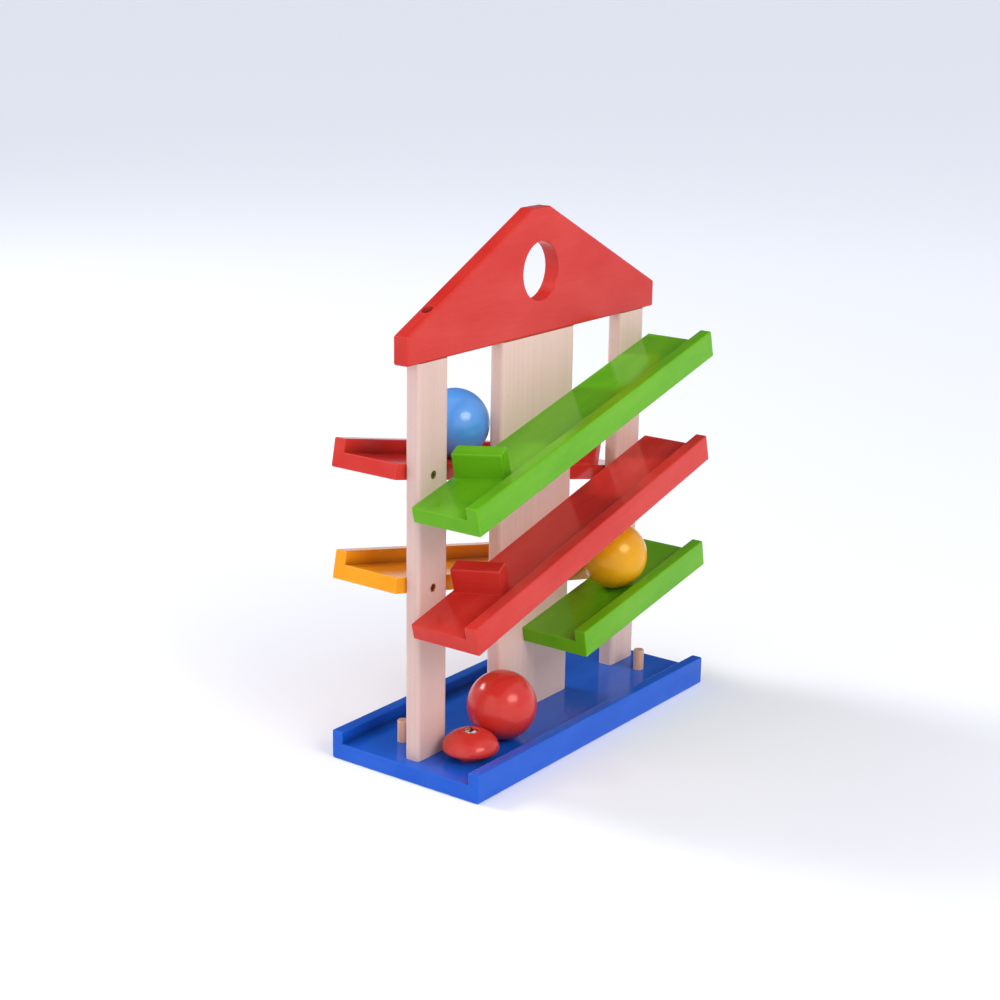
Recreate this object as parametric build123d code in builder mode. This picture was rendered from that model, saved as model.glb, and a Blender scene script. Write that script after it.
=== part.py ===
from build123d import *
import os
from math import cos, radians, sin, tan

# A wooden marble run, in millimetres. Three posts stand in a line on a tray and carry a gabled board.
# Sloping ramps are screwed to both sides of the posts, so a ball zigzags down through the gaps.
# +X runs along the tray, +Y to the back, +Z up. The origin is the middle of the tray's underside.
# Front pieces have side -1 and back pieces side +1: the back is the front turned half round about Z.

# Tray: a floor with a rail along each long side and open ends.
TRAY_LENGTH = 290
TRAY_WIDTH = 130
TRAY_FLOOR = 12
TRAY_RAIL = 9
TRAY_RAIL_TOP = 21

# Posts and the board on top of them.
POST_THICK = 12
POST_TOP = 292.6
END_POST_WIDE = 32
MIDDLE_POST_WIDE = 87
END_POST_X = 120.3
ROOF_SPAN = 297
ROOF_EAVE = 19.4
ROOF_TOP = 382
ROOF_RIDGE = 21
ROOF_HOLE = 42
ROOF_HOLE_Z = 337.4

# Ramps: an L in section, with the rail on the outside and the post faces on the inside.
RAMP_WIDE = 56.2
RAMP_FLOOR = 11.1
RAMP_RAIL = 9.45
RAMP_RAIL_HIGH = 9.3
RAMP_REACH = 144.3
BOTTOM_RAMP_LOW_X = -15.5
BOTTOM_RAMP_HIGH_X = 144.8

# side, height of the floor where x = 0, slope in degrees, and where the floor ends along x
RAMPS = {
    "upper_front": (-1, 234.5, 14.5, -RAMP_REACH, RAMP_REACH),
    "upper_back": (1, 195.3, 11.8, -RAMP_REACH, RAMP_REACH),
    "lower_front": (-1, 153.3, 14.8, -RAMP_REACH, RAMP_REACH),
    "lower_back": (1, 115.4, 11.9, -RAMP_REACH, RAMP_REACH),
    "bottom_front": (-1, 80.2, 10.6, BOTTOM_RAMP_LOW_X, BOTTOM_RAMP_HIGH_X),
}

# Deflectors: bars across the low end of a ramp, which turn a ball through the gap beside them.
DEFLECTOR_LONG = 36.5
DEFLECTOR_THICK = 13.5
DEFLECTOR_HIGH = 18.7
DEFLECTOR_X = 89
DEFLECTOR_Y = 23.5
DEFLECTOR_YAW = 16.5

# Balls, and the clearance of everything that rolls from what it rolls on.
BALL_R = 25
ROLLING_GAP = 0.3
BLUE_BALL_X = -55
YELLOW_BALL_X = 70
RED_BALL_PLACE = (-65.4, -25.2)

# Bell roller: a turned bun on a low foot, with a captive bell in it, closed by a plug underneath.
ROLLER_PLACE = (-106.3, -28.8)
ROLLER_R = 20
ROLLER_HIGH = 19.7
ROLLER_WAIST = 7.5
ROLLER_FOOT_R = 9
ROLLER_FOOT_HIGH = 2.3
ROLLER_MOUTH_R = 5
ROLLER_BORE_R = 6.7
ROLLER_LIP = 1
PLUG_HIGH = 9.1
BELL_R = 5.7
BELL_WALL = 0.5
BELL_SEAM = 0.3
BELL_SLOT = 0.8
BELL_SLOT_END_R = 0.7
BELL_SLOT_SPAN = 5
BELL_TURN = 64
PELLET_R = 1.6

# Stop pegs, one in each lane of the tray.
PEG_R = 4
PEG_STANDS = 16
PEG_DEEP = 8
PEG_X = 113
PEG_Y = 26.5

# Countersunk wood screws, and dowels between the middle post and the board.
SCREW_R = 1.6
SCREW_HEAD_R = 3
SCREW_HEAD_HIGH = 2.2
SCREW_TIP = 3
SCREW_TIP_R = 0.3
SCREW_SUNK = 0.5
CROSS_LONG = 3.6
CROSS_WIDE = 0.8
CROSS_DEEP = 1.2
RAMP_SCREW_LONG = 30
BOTTOM_RAMP_SCREW_X = 14
ROOF_SCREW_LONG = 44
ROOF_SCREW_HEAD_Z = 316
ROOF_RECESS_R = 4
TRAY_SCREW_LONG = 36
END_POST_SCREWS = 8
MIDDLE_POST_SCREWS = 28
DOWEL_R = 3
DOWEL_HALF = 15
DOWEL_X = 26
FIT = 0.05

# Edge rounding.
POST_ROUND = 3
BOARD_ROUND = 1.6
SOFT_EDGE = 1.2
FINE_EDGE = 0.8
HOLE_EDGE = 0.6

os.makedirs("parts", exist_ok=True)


def save(piece, node):
    """Labels a finished piece and writes it as its own node."""
    piece.part.label = node
    export_step(piece.part, f"parts/{node}.step")


def floor_height(ramp, x):
    """Height of a ramp's floor at x. A front ramp climbs towards +X and a back ramp towards -X."""
    side, middle_height, slope = RAMPS[ramp][:3]
    return middle_height - side * x * tan(radians(slope))


def across_ramp(ramp, x):
    """Plane square across a ramp: local X outward, local Y up off the floor, local Z downhill."""
    side, _, slope = RAMPS[ramp][:3]
    downhill = (side * cos(radians(slope)), 0, -sin(radians(slope)))
    return Plane(origin=(x, 0, floor_height(ramp, x)), x_dir=(0, side, 0), z_dir=downhill)


def screw_places(ramp):
    """Where a ramp's screws enter the posts, in x and z, at half the thickness of its floor."""
    slope = RAMPS[ramp][2]
    reach = (BOTTOM_RAMP_SCREW_X, END_POST_X) if ramp == "bottom_front" else (-END_POST_X, END_POST_X)
    half_floor = RAMP_FLOOR / 2 / cos(radians(slope))
    return [(x, floor_height(ramp, x) - half_floor) for x in reach]


def ramp_screw_planes(ramp):
    """Planes on a ramp's screw heads, on the post face opposite the ramp, with Z pointing out."""
    side = RAMPS[ramp][0]
    face = -side * (POST_THICK / 2 - SCREW_SUNK)
    return [
        Plane(origin=(x, face, z), x_dir=(1, 0, 0), z_dir=(0, -side, 0))
        for x, z in screw_places(ramp)
    ]


FRONT_RAMPS = [name for name, ramp in RAMPS.items() if ramp[0] < 0]
BACK_RAMPS = [name for name, ramp in RAMPS.items() if ramp[0] > 0]
ROOF_SCREW_PLANES = [
    Plane(origin=(x, 0, ROOF_SCREW_HEAD_Z)) for x in (-END_POST_X, END_POST_X)
]
TRAY_SCREW_X = [
    post_x + way * spread
    for post_x, spread in (
        (-END_POST_X, END_POST_SCREWS),
        (0, MIDDLE_POST_SCREWS),
        (END_POST_X, END_POST_SCREWS),
    )
    for way in (-1, 1)
]
TRAY_SCREW_PLANES = [
    Plane(origin=(x, 0, SCREW_SUNK), x_dir=(1, 0, 0), z_dir=(0, 0, -1)) for x in TRAY_SCREW_X
]


def screw_solids(planes, length, gap=0.0, recess_r=0.0, recess=0.0):
    """Plain countersunk screws, one for each plane, or, with a gap and a recess, the holes they leave."""
    with BuildPart() as screws:
        for plane in planes:
            through_axis = Plane(
                origin=plane.origin, x_dir=plane.x_dir, z_dir=plane.x_dir.cross(plane.z_dir)
            )
            with BuildSketch(through_axis):
                with BuildLine():
                    Polyline(
                        (0, gap),
                        (SCREW_HEAD_R + gap, gap),
                        (SCREW_R + gap, -SCREW_HEAD_HIGH),
                        (SCREW_R + gap, SCREW_TIP - length),
                        (SCREW_TIP_R + gap, -length - gap),
                        (0, -length - gap),
                        close=True,
                    )
                make_face()
            revolve(axis=Axis(plane.origin, plane.z_dir))
            if recess:
                with BuildSketch(plane):
                    Circle(recess_r)
                extrude(amount=recess)
    return screws.part


def screw_holes(planes, length, recess_r=SCREW_HEAD_R + FIT, recess=SCREW_SUNK + 1):
    return screw_solids(planes, length, FIT, recess_r, recess) if planes else None


def make_screws(node, planes, length):
    """A group of countersunk screws with a cross cut in each head."""
    blanks = screw_solids(planes, length)
    with BuildPart() as screws:
        add(blanks)
        for plane in planes:
            with BuildSketch(plane):
                Rectangle(CROSS_LONG, CROSS_WIDE)
                Rectangle(CROSS_WIDE, CROSS_LONG)
            extrude(amount=-CROSS_DEEP, mode=Mode.SUBTRACT)
    save(screws, node)


def dowel_solids(radius, half_length):
    with BuildPart() as dowels:
        with BuildSketch(Plane.XY.offset(POST_TOP - half_length)):
            with Locations((-DOWEL_X, 0), (DOWEL_X, 0)):
                Circle(radius)
        extrude(amount=2 * half_length)
    return dowels.part


def make_tray():
    holes = screw_holes(TRAY_SCREW_PLANES, TRAY_SCREW_LONG)
    with BuildPart() as tray:
        with BuildSketch(Plane.YZ):
            Rectangle(TRAY_WIDTH, TRAY_RAIL_TOP, align=(Align.CENTER, Align.MIN))
            with Locations((0, TRAY_FLOOR)):
                Rectangle(
                    TRAY_WIDTH - 2 * TRAY_RAIL,
                    TRAY_RAIL_TOP - TRAY_FLOOR,
                    align=(Align.CENTER, Align.MIN),
                    mode=Mode.SUBTRACT,
                )
        extrude(amount=TRAY_LENGTH / 2, both=True)
        rail_tops = tray.faces().filter_by(Axis.Z).group_by(Axis.Z)[-1]
        fillet(rail_tops.edges().filter_by(Axis.X), SOFT_EDGE)
        fillet(tray.faces().sort_by(Axis.Z)[0].edges().filter_by(Axis.X), SOFT_EDGE)
        ends = tray.faces().filter_by(Axis.X)
        fillet(ends.edges(), FINE_EDGE)
        with Locations((-PEG_X, PEG_Y, TRAY_FLOOR), (PEG_X, -PEG_Y, TRAY_FLOOR)):
            Cylinder(
                PEG_R + FIT,
                PEG_DEEP + FIT,
                align=(Align.CENTER, Align.CENTER, Align.MAX),
                mode=Mode.SUBTRACT,
            )
        add(holes, mode=Mode.SUBTRACT)
    save(tray, "base_tray")


def make_post(node, centre_x, wide):
    """A post from the tray's floor to the board, drilled for every screw and dowel that enters it."""
    low, high = centre_x - wide / 2, centre_x + wide / 2
    ramp_planes = [plane for ramp in RAMPS for plane in ramp_screw_planes(ramp)]
    fasteners = (
        (ramp_planes, RAMP_SCREW_LONG),
        (TRAY_SCREW_PLANES, TRAY_SCREW_LONG),
        (ROOF_SCREW_PLANES, ROOF_SCREW_LONG),
    )
    holes = [
        screw_holes([plane for plane in planes if low < plane.origin.X < high], length)
        for planes, length in fasteners
    ]
    if low < 0 < high:
        holes.append(dowel_solids(DOWEL_R + FIT, DOWEL_HALF + FIT))
    with BuildPart() as post:
        with BuildSketch(Plane.XY.offset(TRAY_FLOOR)):
            with Locations((centre_x, 0)):
                Rectangle(wide, POST_THICK)
        extrude(amount=POST_TOP - TRAY_FLOOR)
        fillet(post.edges().filter_by(Axis.Z), POST_ROUND)
        for hole in holes:
            if hole:
                add(hole, mode=Mode.SUBTRACT)
    save(post, node)


def make_roof():
    half_span, half_ridge, eave = ROOF_SPAN / 2, ROOF_RIDGE / 2, POST_TOP + ROOF_EAVE
    recesses = screw_holes(ROOF_SCREW_PLANES, ROOF_SCREW_LONG, ROOF_RECESS_R, ROOF_EAVE)
    dowel_holes = dowel_solids(DOWEL_R + FIT, DOWEL_HALF + FIT)
    with BuildPart() as roof:
        with BuildSketch(Plane.XZ):
            with BuildLine():
                Polyline(
                    (-half_span, POST_TOP),
                    (half_span, POST_TOP),
                    (half_span, eave),
                    (half_ridge, ROOF_TOP),
                    (-half_ridge, ROOF_TOP),
                    (-half_span, eave),
                    close=True,
                )
            make_face()
        extrude(amount=POST_THICK / 2, both=True)
        fillet(roof.edges().filter_by(Axis.Y), BOARD_ROUND)
        fillet(roof.faces().filter_by(Axis.Y).edges(), BOARD_ROUND)
        with BuildSketch(Plane.XZ):
            with Locations((0, ROOF_HOLE_Z)):
                Circle(ROOF_HOLE / 2)
        extrude(amount=POST_THICK / 2, both=True, mode=Mode.SUBTRACT)
        fillet(roof.edges().filter_by(GeomType.CIRCLE).group_by(SortBy.RADIUS)[-1], HOLE_EDGE)
        add(recesses, mode=Mode.SUBTRACT)
        add(dowel_holes, mode=Mode.SUBTRACT)
    save(roof, "roof_board")


def make_ramp(ramp):
    slope, low_x, high_x = RAMPS[ramp][2:]
    along = Axis((0, 0, 0), across_ramp(ramp, 0).z_dir)
    inner = POST_THICK / 2
    outer = inner + RAMP_WIDE
    holes = screw_holes(ramp_screw_planes(ramp), RAMP_SCREW_LONG)
    with BuildPart() as piece:
        with BuildSketch(across_ramp(ramp, (low_x + high_x) / 2)) as section:
            with BuildLine():
                Polyline(
                    (inner, -RAMP_FLOOR),
                    (outer, -RAMP_FLOOR),
                    (outer, RAMP_RAIL_HIGH),
                    (outer - RAMP_RAIL, RAMP_RAIL_HIGH),
                    (outer - RAMP_RAIL, 0),
                    (inner, 0),
                    close=True,
                )
            make_face()
            rail_top = section.vertices().group_by(Axis.Y)[-1]
            outer_bottom = section.vertices().group_by(Axis.Y)[0].sort_by(Axis.X)[-1]
            fillet([*rail_top, outer_bottom], SOFT_EDGE)
        extrude(amount=(high_x - low_x) / 2 / cos(radians(slope)), both=True)
        ends = piece.faces().filter_by(along)
        fillet(ends.edges(), FINE_EDGE)
        add(holes, mode=Mode.SUBTRACT)
    save(piece, f"{ramp}_ramp")


def make_deflector(ramp):
    """A bar standing on a ramp's floor near its low end, yawed so that its outer end is uphill."""
    side, _, slope = RAMPS[ramp][:3]
    uphill = Vector(-side * cos(radians(slope)), 0, sin(radians(slope)))
    outward = Vector(0, side, 0)
    yaw = radians(DEFLECTOR_YAW)
    x = side * DEFLECTOR_X
    floor = Plane(
        origin=(x, side * DEFLECTOR_Y, floor_height(ramp, x)),
        x_dir=outward * cos(yaw) + uphill * sin(yaw),
        z_dir=across_ramp(ramp, x).y_dir,
    )
    with BuildPart() as bar:
        with BuildSketch(floor):
            Rectangle(DEFLECTOR_LONG, DEFLECTOR_THICK)
        extrude(amount=DEFLECTOR_HIGH)
        on_floor = bar.faces().sort_by(Axis(floor.origin, floor.z_dir))[0].edges()
        fillet([edge for edge in bar.edges() if edge not in on_floor], SOFT_EDGE)
    save(bar, f"{ramp}_deflector")


def make_pegs():
    for node, x, y in (("left_stop_peg", -PEG_X, PEG_Y), ("right_stop_peg", PEG_X, -PEG_Y)):
        with BuildPart() as peg:
            with BuildSketch(Plane.XY.offset(TRAY_FLOOR - PEG_DEEP)):
                with Locations((x, y)):
                    Circle(PEG_R)
            extrude(amount=PEG_DEEP + PEG_STANDS)
            fillet(peg.edges().sort_by(Axis.Z)[-1], FINE_EDGE)
        save(peg, node)


def make_dowels():
    pins = dowel_solids(DOWEL_R, DOWEL_HALF)
    with BuildPart() as dowels:
        add(pins)
        chamfer(dowels.edges().filter_by(GeomType.CIRCLE), FINE_EDGE)
    save(dowels, "roof_dowels")


def ball_centre(ramp, x):
    """Centre of a ball that rests on a ramp's floor at x, against the posts."""
    side = RAMPS[ramp][0]
    stand_off = BALL_R + ROLLING_GAP
    foot = Vector(x, side * (POST_THICK / 2 + stand_off), floor_height(ramp, x))
    return foot + across_ramp(ramp, x).y_dir * stand_off


def make_balls():
    centres = {
        "blue_ball": ball_centre("upper_back", BLUE_BALL_X),
        "yellow_ball": ball_centre("bottom_front", YELLOW_BALL_X),
        "red_ball": Vector(*RED_BALL_PLACE, TRAY_FLOOR + BALL_R + ROLLING_GAP),
    }
    for node, centre in centres.items():
        with BuildPart() as ball:
            with Locations(centre):
                Sphere(BALL_R)
        save(ball, node)


def make_roller():
    """The bun: a half ellipse above its waist and a flatter one below it, cut off at the foot."""
    foot = TRAY_FLOOR + ROLLING_GAP
    upper = ROLLER_HIGH - ROLLER_WAIST
    crown = upper / (1 - (ROLLER_BORE_R / ROLLER_R) ** 2) ** 0.5
    under = ROLLER_WAIST - ROLLER_FOOT_HIGH
    lower = under / (1 - (ROLLER_FOOT_R / ROLLER_R) ** 2) ** 0.5
    turning = Plane(origin=(*ROLLER_PLACE, foot), x_dir=(1, 0, 0), z_dir=(0, -1, 0))
    axis = Axis((*ROLLER_PLACE, foot), (0, 0, 1))
    with BuildPart() as roller:
        with BuildSketch(turning):
            with Locations((0, ROLLER_WAIST)):
                Ellipse(ROLLER_R, crown)
                with Locations((0, -ROLLER_WAIST)):
                    Rectangle(2 * ROLLER_R, 2 * ROLLER_WAIST, mode=Mode.SUBTRACT)
            with Locations((ROLLER_R / 2, ROLLER_HIGH / 2)):
                Rectangle(ROLLER_R, ROLLER_HIGH, mode=Mode.INTERSECT)
        revolve(axis=axis)
        with BuildSketch(turning):
            with Locations((0, ROLLER_WAIST)):
                Ellipse(ROLLER_R, lower)
            with Locations((ROLLER_R / 2, ROLLER_WAIST - under / 2)):
                Rectangle(ROLLER_R, under, mode=Mode.INTERSECT)
            with Locations((ROLLER_FOOT_R / 2, ROLLER_FOOT_HIGH / 2)):
                Rectangle(ROLLER_FOOT_R, ROLLER_FOOT_HIGH)
        revolve(axis=axis)
        with BuildSketch(Plane(origin=(*ROLLER_PLACE, foot))):
            Circle(ROLLER_BORE_R)
        extrude(amount=ROLLER_HIGH - ROLLER_LIP, mode=Mode.SUBTRACT)
        with BuildSketch(Plane(origin=(*ROLLER_PLACE, foot))):
            Circle(ROLLER_MOUTH_R)
        extrude(amount=ROLLER_HIGH, mode=Mode.SUBTRACT)
        mouth = roller.edges().filter_by(GeomType.CIRCLE).sort_by(Axis.Z)[-1]
        fillet(mouth, FINE_EDGE / 2)
    save(roller, "bell_roller")
    with BuildPart() as plug:
        with BuildSketch(Plane(origin=(*ROLLER_PLACE, foot + FINE_EDGE))):
            Circle(ROLLER_BORE_R - FIT)
        extrude(amount=PLUG_HIGH)
    save(plug, "bell_plug")


def bell_place():
    """Centre of the bell, which hangs by a hair under the lip of the roller's mouth."""
    lip_z = TRAY_FLOOR + ROLLING_GAP + ROLLER_HIGH - ROLLER_LIP
    drop = (BELL_R**2 - ROLLER_MOUTH_R**2) ** 0.5
    return Vector(*ROLLER_PLACE, lip_z - drop - FIT * 2)


def make_bell():
    """Two pressed shells that meet at a rolled seam, the upper one slotted, and the pellet inside."""
    centre = bell_place()
    slot_way = (cos(radians(BELL_TURN)), sin(radians(BELL_TURN)), 0)
    seam_plane = Plane(origin=centre, x_dir=slot_way, z_dir=(0, 0, 1))
    for node, up in (("bell_upper_shell", 1), ("bell_lower_shell", -1)):
        with BuildPart() as shell:
            with Locations(centre):
                Sphere(BELL_R)
                Sphere(BELL_R - BELL_WALL, mode=Mode.SUBTRACT)
            with BuildSketch(seam_plane):
                Circle(BELL_R + BELL_SEAM)
                Circle(BELL_R - BELL_WALL, mode=Mode.SUBTRACT)
            extrude(amount=up * BELL_WALL)
            with BuildSketch(seam_plane):
                Rectangle(3 * BELL_R, 3 * BELL_R)
            extrude(amount=-up * 2 * BELL_R, mode=Mode.SUBTRACT)
            if up > 0:
                with BuildSketch(seam_plane):
                    Rectangle(BELL_SLOT_SPAN, BELL_SLOT)
                    with Locations((-BELL_SLOT_SPAN / 2, 0), (BELL_SLOT_SPAN / 2, 0)):
                        Circle(BELL_SLOT_END_R)
                extrude(amount=2 * BELL_R, mode=Mode.SUBTRACT)
        save(shell, node)
    with BuildPart() as pellet:
        with Locations(centre - Vector(0, 0, BELL_R - BELL_WALL - PELLET_R - 2 * FIT)):
            Sphere(PELLET_R)
    save(pellet, "bell_pellet")


make_tray()
make_post("left_post", -END_POST_X, END_POST_WIDE)
make_post("middle_post", 0, MIDDLE_POST_WIDE)
make_post("right_post", END_POST_X, END_POST_WIDE)
make_roof()
for ramp_name in RAMPS:
    make_ramp(ramp_name)
    if ramp_name != "bottom_front":
        make_deflector(ramp_name)
make_pegs()
make_dowels()
make_balls()
make_roller()
make_bell()
front_screws = [plane for name in FRONT_RAMPS for plane in ramp_screw_planes(name)]
back_screws = [plane for name in BACK_RAMPS for plane in ramp_screw_planes(name)]
make_screws("front_ramp_screws", front_screws, RAMP_SCREW_LONG)
make_screws("back_ramp_screws", back_screws, RAMP_SCREW_LONG)
make_screws("roof_screws", ROOF_SCREW_PLANES, ROOF_SCREW_LONG)
make_screws("tray_screws", TRAY_SCREW_PLANES, TRAY_SCREW_LONG)
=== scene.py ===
import bmesh
import bpy
import math
from mathutils import Matrix, Vector


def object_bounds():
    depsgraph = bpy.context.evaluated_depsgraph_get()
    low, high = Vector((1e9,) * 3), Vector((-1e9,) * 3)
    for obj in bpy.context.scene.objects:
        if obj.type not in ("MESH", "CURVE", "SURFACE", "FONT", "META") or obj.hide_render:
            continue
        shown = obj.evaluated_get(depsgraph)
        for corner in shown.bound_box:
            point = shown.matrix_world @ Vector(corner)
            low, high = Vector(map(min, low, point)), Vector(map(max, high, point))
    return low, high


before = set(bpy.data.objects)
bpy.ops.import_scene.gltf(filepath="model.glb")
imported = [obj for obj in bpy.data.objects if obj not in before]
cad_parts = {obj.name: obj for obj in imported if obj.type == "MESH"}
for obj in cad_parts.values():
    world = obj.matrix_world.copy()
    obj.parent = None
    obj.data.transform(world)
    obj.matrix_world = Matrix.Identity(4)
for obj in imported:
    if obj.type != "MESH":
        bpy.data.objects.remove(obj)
cad_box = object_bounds()

# A painted wooden marble run. Everything is in metres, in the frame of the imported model:
# +X along the tray, +Y to the back, +Z up, with the tray standing on z = 0.
MM = 0.001
UP = Vector((0, 0, 1))

# Camera: where it stands, what it aims at and how it leans. Distances are in metres.
CAMERA_AZIMUTH = -53.609
CAMERA_ELEVATION = 15.948
CAMERA_ROLL = 0.817
CAMERA_DISTANCE = 1.3908
CAMERA_AIM = Vector((-0.0314, 0.0041, 0.1758))
CAMERA_LENS_MM = 70.182
CAMERA_SENSOR_MM = 36

# Studio: a pale floor, just clear of the tray, that glows a little further out.
FLOOR_REACH = 60
FLOOR_DROP = 0.2 * MM
FLOOR_COLOUR = "#f8fafd"
FAR_FLOOR_LIGHT = 0.2
FAR_FLOOR_STARTS, FAR_FLOOR_FULL = 0.3, 2.5
EXPOSURE = -0.12
# A pale sky, dark around one direction behind the object. The dark fades out between two cosines of
# the angle from that direction, and towards the horizon between two heights of the view direction.
SKY_COLOUR = "#e9ecf6"
SKY_STRENGTH = 1.1
DARK_SKY_STRENGTH = 0.12
DARK_SKY_AZIMUTH, DARK_SKY_ELEVATION = 132, 34
DARK_SKY_STARTS, DARK_SKY_FULL = 0.62, 0.88
HORIZON_FADE_STARTS, HORIZON_FADE_ENDS = 0.02, 0.12
# Soft boxes: azimuth, elevation and distance from the object, width, height, watts and colour.
SOFT_BOXES = {
    "front_soft_box": (-11, 33, 2.4, 1.44, 1.04, 24, "#fffaf4"),
    "low_soft_box": (-35, 12, 4, 4.8, 1.6, 8, "#fff8f4"),
    "left_soft_box": (-95, 18, 3, 2.4, 2.4, 8, "#fff8f6"),
    "back_soft_box": (-168, 37, 2.4, 0.8, 0.8, 30, "#ffffff"),
}


def linear(hex_colour):
    """An sRGB hex colour as the linear colour that a socket takes."""
    shares = [int(hex_colour[i : i + 2], 16) / 255 for i in (1, 3, 5)]
    return (*[s / 12.92 if s <= 0.04045 else ((s + 0.055) / 1.055) ** 2.4 for s in shares], 1)


def towards(azimuth, elevation):
    """Unit vector from the object to a place seen at that azimuth (0 is the front, -Y) and elevation."""
    a, e = math.radians(azimuth), math.radians(elevation)
    return Vector((math.sin(a) * math.cos(e), -math.cos(a) * math.cos(e), math.sin(e)))


# ---- Material building ----

# Faces that meet at less than this are parts of one curved face.
FLAT_ANGLE = math.radians(0.5)
# How square to the grain a surface starts to look like end grain, and is all end grain, as cosines.
END_GRAIN_STARTS, END_GRAIN_FULL = 0.55, 0.95
# The scale at which a wave texture repeats once to each unit.
ONE_WAVE_PER_UNIT = 2 * math.pi / 20


def add_node(tree, kind, values=(), links=(), **settings):
    """Adds a node with its settings, the values of its inputs, and the outputs linked to them."""
    node = tree.nodes.new(kind)
    for name, value in settings.items():
        setattr(node, name, value)
    for socket, value in dict(values).items():
        node.inputs[socket].default_value = value
    for socket, output in dict(links).items():
        tree.links.new(output, node.inputs[socket])
    return node


def new_material(name):
    material = bpy.data.materials.new(name)
    material.use_nodes = True
    material.node_tree.nodes.clear()
    return material, material.node_tree


def surface(tree, values, links=()):
    """Ends a material with its shader."""
    shader = add_node(tree, "ShaderNodeBsdfPrincipled", values, links)
    add_node(tree, "ShaderNodeOutputMaterial", links={"Surface": shader.outputs["BSDF"]})


def grain_way(node):
    """Unit vector along a piece's longest true edge, which is how its grain runs."""
    mesh = bmesh.new()
    mesh.from_mesh(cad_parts[node].data)
    true_edges = [e for e in mesh.edges if not e.is_manifold or e.calc_face_angle() > FLAT_ANGLE]
    longest = max(true_edges, key=lambda e: e.calc_length())
    way = (longest.verts[1].co - longest.verts[0].co).normalized()
    mesh.free()
    return way


def in_grain(tree, way, across_mm, along_mm, pith_mm=(0, 0)):
    """Coordinates with the grain along Z: one unit to each across_mm and along_mm, from the pith."""
    place = add_node(tree, "ShaderNodeTexCoord").outputs["Object"]
    turned = add_node(
        tree,
        "ShaderNodeMapping",
        {
            "Rotation": way.rotation_difference(UP).to_euler(),
            "Location": (pith_mm[0] * MM, pith_mm[1] * MM, 0),
        },
        {"Vector": place},
    )
    across, along = 1 / (across_mm * MM), 1 / (along_mm * MM)
    scaled = add_node(
        tree,
        "ShaderNodeVectorMath",
        {1: (across, across, along)},
        {0: turned.outputs["Vector"]},
        operation="MULTIPLY",
    )
    return scaled.outputs["Vector"]


def end_grain(tree, way):
    """How far a surface cuts across the grain: 0 along it, 1 square to it."""
    normal = add_node(tree, "ShaderNodeTexCoord").outputs["Normal"]
    facing = add_node(
        tree, "ShaderNodeVectorMath", {1: way}, {0: normal}, operation="DOT_PRODUCT"
    ).outputs["Value"]
    either = add_node(tree, "ShaderNodeMath", links={0: facing}, operation="ABSOLUTE")
    return add_node(
        tree,
        "ShaderNodeMapRange",
        {"From Min": END_GRAIN_STARTS, "From Max": END_GRAIN_FULL},
        {"Value": either.outputs["Value"]},
        interpolation_type="SMOOTHSTEP",
    ).outputs["Result"]


# ---- Finishes ----

WOOD_IOR = 1.5
LACQUER_IOR = 1.5
PAPER_IOR = 1.45
BARE_ROUGHNESS = 0.5
END_GRAIN_LACQUER_ROUGHNESS = 0.3
# Beech: growth rings this far apart, and the tones of its ray flecks and its end grain.
RING_MM = 2.6
RAY_FLECK_COLOUR = "#c89c8c"
END_GRAIN_COLOUR = "#c29a8a"
# How far in from an edge the colour is drawn pale, partly for a thin coat and partly as a painted
# highlight; how far out from an inside corner shade is painted into the colour; and how much of the
# colour is left where that painted shade is darkest.
THIN_AND_LIT_EDGE_MM = 1.4
CORNER_SHADE_MM = 7
DARKEST_PAINTED_SHADE = (0.25, 0.25, 0.25, 1)


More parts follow.
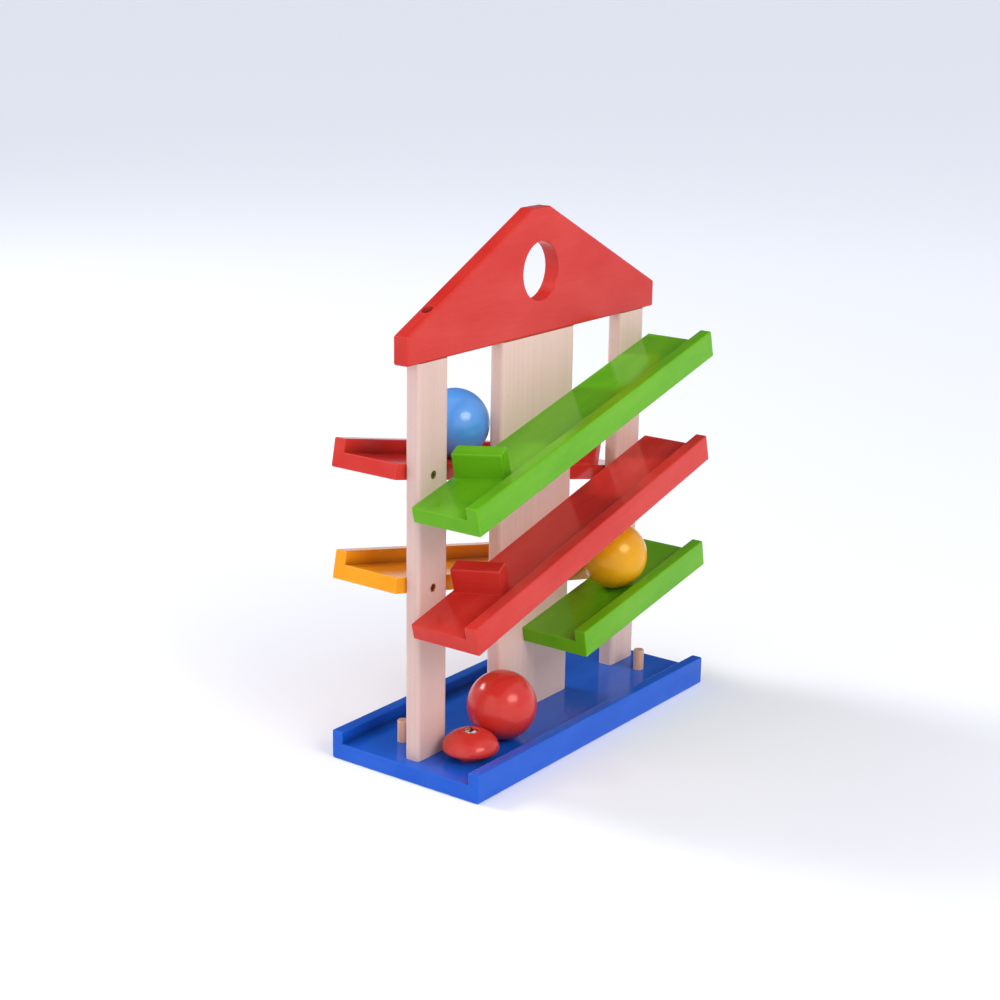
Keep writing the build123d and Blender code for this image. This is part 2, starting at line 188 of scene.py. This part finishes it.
def bare_beech(name, way, light_colour, dark_colour, pith_mm):
    """Sanded beech with no finish: pale pinkish tan, fine straight growth rings and the short
    darker ray flecks that tell beech from other woods. The end grain is darker."""
    material, tree = new_material(name)
    # Growth rings, drawn out along the trunk so that they only waver.
    rings = add_node(
        tree,
        "ShaderNodeTexWave",
        {"Scale": ONE_WAVE_PER_UNIT, "Distortion": 1.6, "Detail": 2, "Detail Scale": 0.35},
        {"Vector": in_grain(tree, way, RING_MM, RING_MM * 30, pith_mm)},
        wave_type="RINGS",
        rings_direction="Z",
        wave_profile="SAW",
    ).outputs["Fac"]
    # Fibres are some 0.02 mm wide: drawn 0.9 mm wide, so that they show.
    fibres = add_node(
        tree,
        "ShaderNodeTexNoise",
        {"Scale": 1, "Detail": 3, "Roughness": 0.6},
        {"Vector": in_grain(tree, way, 0.9, 34)},
    ).outputs["Fac"]
    # Ray flecks are spindles some 0.3 by 3 mm: drawn twice as wide.
    flecks = add_node(
        tree,
        "ShaderNodeTexVoronoi",
        {"Scale": 1},
        {"Vector": in_grain(tree, way, 2.0, 6.5)},
    ).outputs["Distance"]
    # A fleck is darkest in the middle tenth of its cell, and gone a quarter of the way out.
    fleck = add_node(
        tree,
        "ShaderNodeMapRange",
        {"From Min": 0.24, "From Max": 0.10, "To Max": 0.32},
        {"Value": flecks},
    ).outputs["Result"]
    # Lighter and darker bands, where the tree grew faster and slower.
    broad = add_node(
        tree,
        "ShaderNodeTexNoise",
        {"Scale": 1, "Detail": 1},
        {"Vector": in_grain(tree, way, 14, 120)},
    ).outputs["Fac"]
    ends = end_grain(tree, way)
    rings_and_fibres = add_node(
        tree, "ShaderNodeMix", {"Factor": 0.5}, {"A": rings, "B": fibres}
    ).outputs["Result"]
    with_broad = add_node(
        tree, "ShaderNodeMix", {"Factor": 0.45}, {"A": rings_and_fibres, "B": broad}
    ).outputs["Result"]
    wood = add_node(
        tree,
        "ShaderNodeMix",
        {"A": linear(light_colour), "B": linear(dark_colour)},
        {"Factor": with_broad},
        data_type="RGBA",
    ).outputs["Result"]
    flecked = add_node(
        tree,
        "ShaderNodeMix",
        {"B": linear(RAY_FLECK_COLOUR)},
        {"Factor": fleck, "A": wood},
        data_type="RGBA",
    ).outputs["Result"]
    with_ends = add_node(
        tree,
        "ShaderNodeMix",
        {"B": linear(END_GRAIN_COLOUR)},
        {"Factor": ends, "A": flecked},
        data_type="RGBA",
    ).outputs["Result"]
    bump = add_node(
        tree, "ShaderNodeBump", {"Strength": 0.35, "Distance": 0.08 * MM}, {"Height": rings_and_fibres}
    )
    surface(
        tree,
        {"Roughness": BARE_ROUGHNESS, "IOR": WOOD_IOR},
        {"Base Color": with_ends, "Normal": bump.outputs["Normal"]},
    )
    return material


def lacquered_beech(name, way, coat, colour, thin_and_highlight_colour, tint):
    """Beech under a coloured lacquer: a wet gloss that mirrors what stands near it, with the
    grain telegraphing through as a faint ripple. The end grain drinks the lacquer, so it is duller.
    Along the outside edges the colour runs pale, partly for the thin coat and partly as a painted
    highlight, and in the inside corners it is darkened as painted shade."""
    material, tree = new_material(name)
    # The grain that telegraphs through, drawn 1.1 mm wide so that it shows.
    grain = add_node(
        tree,
        "ShaderNodeTexNoise",
        {"Scale": 1, "Detail": 3, "Roughness": 0.55},
        {"Vector": in_grain(tree, way, 1.1, 26)},
    ).outputs["Fac"]
    # The coat's thickness drifts over some 25 mm.
    drift = add_node(
        tree,
        "ShaderNodeTexNoise",
        {"Scale": 1, "Detail": 2},
        {"Vector": in_grain(tree, way, 25, 60)},
    ).outputs["Fac"]
    # Orange peel of the coat, 2.2 mm across.
    peel = add_node(
        tree,
        "ShaderNodeTexNoise",
        {"Scale": 1, "Detail": 1},
        {"Vector": in_grain(tree, way, 2.2, 2.2)},
    ).outputs["Fac"]
    ends = end_grain(tree, way)
    # Open pores of the end grain, drawn 0.7 mm across.
    pores = add_node(
        tree,
        "ShaderNodeTexNoise",
        {"Scale": 1, "Detail": 3, "Roughness": 0.7},
        {"Vector": in_grain(tree, way, 0.7, 0.7)},
    ).outputs["Fac"]
    relief = add_node(
        tree, "ShaderNodeMix", {"Factor": 0.4}, {"A": grain, "B": peel}
    ).outputs["Result"]
    relief_with_ends = add_node(
        tree, "ShaderNodeMix", links={"Factor": ends, "A": relief, "B": pores}
    ).outputs["Result"]
    thin = add_node(
        tree, "ShaderNodeMix", {"Factor": 0.35}, {"A": drift, "B": relief_with_ends}
    ).outputs["Result"]
    # On the flat, the coat gets about halfway to its thin colour.
    thinness = add_node(
        tree,
        "ShaderNodeMapRange",
        {"From Min": 0.38, "From Max": 0.66, "To Max": 0.55},
        {"Value": thin},
    ).outputs["Result"]
    # At an outside edge there is air close by behind the surface, so the colour goes all the way to the
    # thin colour there: partly for the thin coat, partly as a painted edge highlight.
    at_edge = add_node(
        tree,
        "ShaderNodeAmbientOcclusion",
        {"Distance": THIN_AND_LIT_EDGE_MM * MM},
        samples=8,
        inside=True,
        only_local=True,
    ).outputs["AO"]
    edge_thinness_and_highlight = add_node(
        tree, "ShaderNodeMapRange", {"From Min": 0.95, "From Max": 0.6}, {"Value": at_edge}
    ).outputs["Result"]
    thinness_and_edge_highlight = add_node(
        tree, "ShaderNodeMath", links={0: thinness, 1: edge_thinness_and_highlight}, operation="MAXIMUM"
    ).outputs["Value"]
    # This mix also paints the pale highlight along the outside edges.
    sprayed = add_node(
        tree,
        "ShaderNodeMix",
        {"A": linear(colour), "B": linear(thin_and_highlight_colour)},
        {"Factor": thinness_and_edge_highlight},
        data_type="RGBA",
    ).outputs["Result"]
    # Painted shade: in an inside corner the piece itself stands close by, and the colour is darkened
    # there as the shade that falls in it.
    in_corner = add_node(
        tree,
        "ShaderNodeAmbientOcclusion",
        {"Distance": CORNER_SHADE_MM * MM},
        samples=8,
        only_local=True,
    ).outputs["AO"]
    corner_shade = add_node(
        tree,
        "ShaderNodeMapRange",
        {"From Min": 0.95, "From Max": 0.25, "To Max": 0.8},
        {"Value": in_corner},
    ).outputs["Result"]
    # The painted corner shade is multiplied into the colour here.
    paint_and_shade = add_node(
        tree,
        "ShaderNodeMix",
        {"B": DARKEST_PAINTED_SHADE},
        {"Factor": corner_shade, "A": sprayed},
        data_type="RGBA",
        blend_type="MULTIPLY",
    ).outputs["Result"]
    roughness, shine = coat
    dull = add_node(
        tree,
        "ShaderNodeMapRange",
        {"To Min": roughness, "To Max": END_GRAIN_LACQUER_ROUGHNESS},
        {"Value": ends},
    ).outputs["Result"]
    bump = add_node(
        tree,
        "ShaderNodeBump",
        {"Strength": 0.12, "Distance": 0.06 * MM},
        {"Height": relief_with_ends},
    )
    surface(
        tree,
        {"IOR": LACQUER_IOR, "Specular IOR Level": shine, "Specular Tint": linear(tint)},
        {"Base Color": paint_and_shade, "Roughness": dull, "Normal": bump.outputs["Normal"]},
    )
    return material


def nickel_plate():
    """Pressed brass, nickel plated and barrel polished: a warm white mirror with faint tumbling marks."""
    material, tree = new_material("polished_nickel_plate")
    marks = add_node(
        tree,
        "ShaderNodeTexNoise",
        {"Scale": 1, "Detail": 3},
        {"Vector": in_grain(tree, UP, 0.8, 0.8)},
    ).outputs["Fac"]
    tone = add_node(
        tree,
        "ShaderNodeMix",
        {"A": linear("#dcd8d0"), "B": linear("#c4bfb6")},
        {"Factor": marks},
        data_type="RGBA",
    ).outputs["Result"]
    gloss = add_node(
        tree, "ShaderNodeMapRange", {"To Min": 0.06, "To Max": 0.16}, {"Value": marks}
    ).outputs["Result"]
    surface(tree, {"Metallic": 1}, {"Base Color": tone, "Roughness": gloss})
    return material


def worked_steel(name, colour, glint_colour):
    """Steel under a thin dull film, with brighter specks where its handling has rubbed the film off."""
    material, tree = new_material(name)
    crystals = add_node(
        tree,
        "ShaderNodeTexNoise",
        {"Scale": 1, "Detail": 4, "Roughness": 0.7},
        {"Vector": in_grain(tree, UP, 0.6, 0.6)},
    ).outputs["Fac"]
    rubbed = add_node(
        tree, "ShaderNodeMapRange", {"From Min": 0.5, "From Max": 0.7}, {"Value": crystals}
    ).outputs["Result"]
    tone = add_node(
        tree,
        "ShaderNodeMix",
        {"A": linear(colour), "B": linear(glint_colour)},
        {"Factor": rubbed},
        data_type="RGBA",
    ).outputs["Result"]
    bump = add_node(
        tree, "ShaderNodeBump", {"Strength": 0.3, "Distance": 0.05 * MM}, {"Height": crystals}
    )
    surface(
        tree,
        {"Metallic": 1, "Roughness": 0.38},
        {"Base Color": tone, "Normal": bump.outputs["Normal"]},
    )
    return material


def floor_paper():
    """Matt white background paper. Further out than the object stands it glows a little, in place
    of lamps of its own."""
    material, tree = new_material("matt_background_paper")
    place = add_node(tree, "ShaderNodeTexCoord").outputs["Object"]
    distance = add_node(tree, "ShaderNodeVectorMath", links={0: place}, operation="LENGTH")
    far_light = add_node(
        tree,
        "ShaderNodeMapRange",
        {"From Min": FAR_FLOOR_STARTS, "From Max": FAR_FLOOR_FULL, "To Max": FAR_FLOOR_LIGHT},
        {"Value": distance.outputs["Value"]},
        interpolation_type="SMOOTHSTEP",
    ).outputs["Result"]
    surface(
        tree,
        {
            "Base Color": linear(FLOOR_COLOUR),
            "Roughness": 0.9,
            "IOR": PAPER_IOR,
            "Emission Color": linear(SKY_COLOUR),
        },
        {"Emission Strength": far_light},
    )
    return material


# ---- Dressing the pieces ----

# Roughness and shine of a sprayed coat, and of the brighter but softer one of the pieces that are
# tumbled in lacquer.
SPRAYED = (0.15, 0.38)
TUMBLED = (0.2, 0.7)
# Lacquer colours: where the coat is full; where it is thin, which also serves as the painted highlight
# along the edges; and what it does to a reflection.
GREEN = ("#57a010", "#70b41e", "#dcff84")
RED = ("#c4271f", "#d4443a", "#ffc8c4")
BLUE = ("#1254c0", "#2866d0", "#b4d2ff")
YELLOW = ("#da970b", "#e8aa20", "#fff0aa")
# The lower back ramp is yellow; its colour is drawn more orange as painted light reflected from the red
# ramp above it.
YELLOW_WITH_PAINTED_BOUNCE = ("#ea9410", "#f2a424", "#fff0aa")
SKY_BLUE = ("#4e95e2", "#5b9fe6", "#ffffff")
LACQUERED = {
    "base_tray": BLUE,
    "roof_board": RED,
    "upper_front_ramp": GREEN,
    "upper_front_deflector": GREEN,
    "upper_back_ramp": RED,
    "upper_back_deflector": RED,
    "lower_front_ramp": RED,
    "lower_front_deflector": RED,
    "lower_back_ramp": YELLOW_WITH_PAINTED_BOUNCE,
    "lower_back_deflector": YELLOW_WITH_PAINTED_BOUNCE,
    "bottom_front_ramp": GREEN,
}
# Turned pieces, with their lacquer and the way their grain runs.
TURNED = {
    "blue_ball": (SKY_BLUE, Vector((0.8, 0.4, 0.45))),
    "yellow_ball": (YELLOW, Vector((0.2, 0.9, 0.4))),
    "red_ball": (RED, Vector((0.9, -0.3, 0.3))),
    "bell_roller": (RED, UP),
}
# Bare wood, in its light and its dark rings: planed boards; a paler copy of them for the middle and right
# posts, as painted light making up for the shade they stand in; and dowel, which is of warmer wood.
BOARD = ("#d9beb5", "#cda89c")
BOARD_WITH_PAINTED_LIGHT = ("#e3c8bd", "#d7b3a6")
DOWEL = ("#efbc9c", "#dba484")
# Bare pieces, with their wood and the place of the pith, in millimetres across the grain.
BARE = {
    "left_post": (BOARD, (31, 64)),
    # The middle and right posts take the paler wood: painted light.
    "middle_post": (BOARD_WITH_PAINTED_LIGHT, (-18, 82)),
    "right_post": (BOARD_WITH_PAINTED_LIGHT, (-140, 70)),
    "left_stop_peg": (DOWEL, (6, 9)),
    "right_stop_peg": (DOWEL, (-9, 5)),
    "roof_dowels": (DOWEL, (4, 7)),
    "bell_plug": (DOWEL, (5, 8)),
}


def dress(node, material):
    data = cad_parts[node].data
    data.materials.clear()
    data.materials.append(material)


def dress_all():
    for node, colours in LACQUERED.items():
        dress(node, lacquered_beech(f"lacquered_beech.{node}", grain_way(node), SPRAYED, *colours))
    for node, (colours, way) in TURNED.items():
        dress(node, lacquered_beech(f"lacquered_beech.{node}", way.normalized(), TUMBLED, *colours))
    for node, (colours, pith_mm) in BARE.items():
        dress(node, bare_beech(f"bare_beech.{node}", grain_way(node), *colours, pith_mm))
    nickel = nickel_plate()
    for node in ("bell_upper_shell", "bell_lower_shell"):
        dress(node, nickel)
    screw_steel = worked_steel("yellow_passivated_steel", "#a88455", "#e2c48e")
    for node in ("front_ramp_screws", "back_ramp_screws", "roof_screws", "tray_screws"):
        dress(node, screw_steel)
    dress("bell_pellet", worked_steel("rolled_steel", "#7c7a78", "#a5a29f"))


# ---- Studio ----


def make_floor():
    mesh = bmesh.new()
    bmesh.ops.create_circle(mesh, cap_ends=True, segments=96, radius=FLOOR_REACH)
    data = bpy.data.meshes.new("studio_floor")
    mesh.to_mesh(data)
    mesh.free()
    floor = bpy.data.objects.new("studio_floor", data)
    floor.location = (0, 0, -FLOOR_DROP)
    bpy.context.scene.collection.objects.link(floor)
    data.materials.append(floor_paper())


def make_soft_box(name, azimuth, elevation, distance, wide, high, watts, colour):
    """An oval soft box that faces the middle of the object."""
    lamp = bpy.data.lights.new(name, "AREA")
    lamp.shape = "ELLIPSE"
    lamp.size, lamp.size_y = wide, high
    lamp.energy = watts
    lamp.color = linear(colour)[:3]
    soft_box = bpy.data.objects.new(name, lamp)
    lowest, highest = cad_box
    back = towards(azimuth, elevation)
    soft_box.location = (lowest + highest) / 2 + back * distance
    soft_box.rotation_euler = back.to_track_quat("Z", "Y").to_euler()
    bpy.context.scene.collection.objects.link(soft_box)


def make_sky():
    """A pale sky, with an unlit side behind the object that the lacquer's grazing mirror looks into."""
    world = bpy.data.worlds.new("studio_sky")
    world.use_nodes = True
    tree = world.node_tree
    way = add_node(tree, "ShaderNodeTexCoord").outputs["Generated"]
    facing = add_node(
        tree,
        "ShaderNodeVectorMath",
        {1: towards(DARK_SKY_AZIMUTH, DARK_SKY_ELEVATION)},
        {0: way},
        operation="DOT_PRODUCT",
    ).outputs["Value"]
    behind = add_node(
        tree,
        "ShaderNodeMapRange",
        {"From Min": DARK_SKY_STARTS, "From Max": DARK_SKY_FULL},
        {"Value": facing},
        interpolation_type="SMOOTHSTEP",
    ).outputs["Result"]
    height = add_node(tree, "ShaderNodeSeparateXYZ", links={"Vector": way}).outputs["Z"]
    above_horizon = add_node(
        tree,
        "ShaderNodeMapRange",
        {"From Min": HORIZON_FADE_STARTS, "From Max": HORIZON_FADE_ENDS},
        {"Value": height},
    ).outputs["Result"]
    unlit = add_node(
        tree, "ShaderNodeMath", links={0: behind, 1: above_horizon}, operation="MULTIPLY"
    ).outputs["Value"]
    strength = add_node(
        tree,
        "ShaderNodeMapRange",
        {"To Min": SKY_STRENGTH, "To Max": DARK_SKY_STRENGTH},
        {"Value": unlit},
    ).outputs["Result"]
    background = tree.nodes["Background"]
    background.inputs["Color"].default_value = linear(SKY_COLOUR)
    tree.links.new(strength, background.inputs["Strength"])
    bpy.context.scene.world = world


def make_camera():
    data = bpy.data.cameras.new("camera")
    data.lens, data.sensor_width = CAMERA_LENS_MM, CAMERA_SENSOR_MM
    camera = bpy.data.objects.new("camera", data)
    back = towards(CAMERA_AZIMUTH, CAMERA_ELEVATION)
    level = UP.cross(back).normalized()
    roll = math.radians(CAMERA_ROLL)
    right = level * math.cos(roll) + back.cross(level) * math.sin(roll)
    turn = Matrix((right, back.cross(right), back)).transposed().to_4x4()
    camera.matrix_world = Matrix.Translation(CAMERA_AIM + back * CAMERA_DISTANCE) @ turn
    bpy.context.scene.collection.objects.link(camera)
    bpy.context.scene.camera = camera


make_camera()
make_floor()
make_sky()
for name, settings in SOFT_BOXES.items():
    make_soft_box(name, *settings)
dress_all()
bpy.context.scene.view_settings.view_transform = "Standard"
bpy.context.scene.view_settings.exposure = EXPOSURE
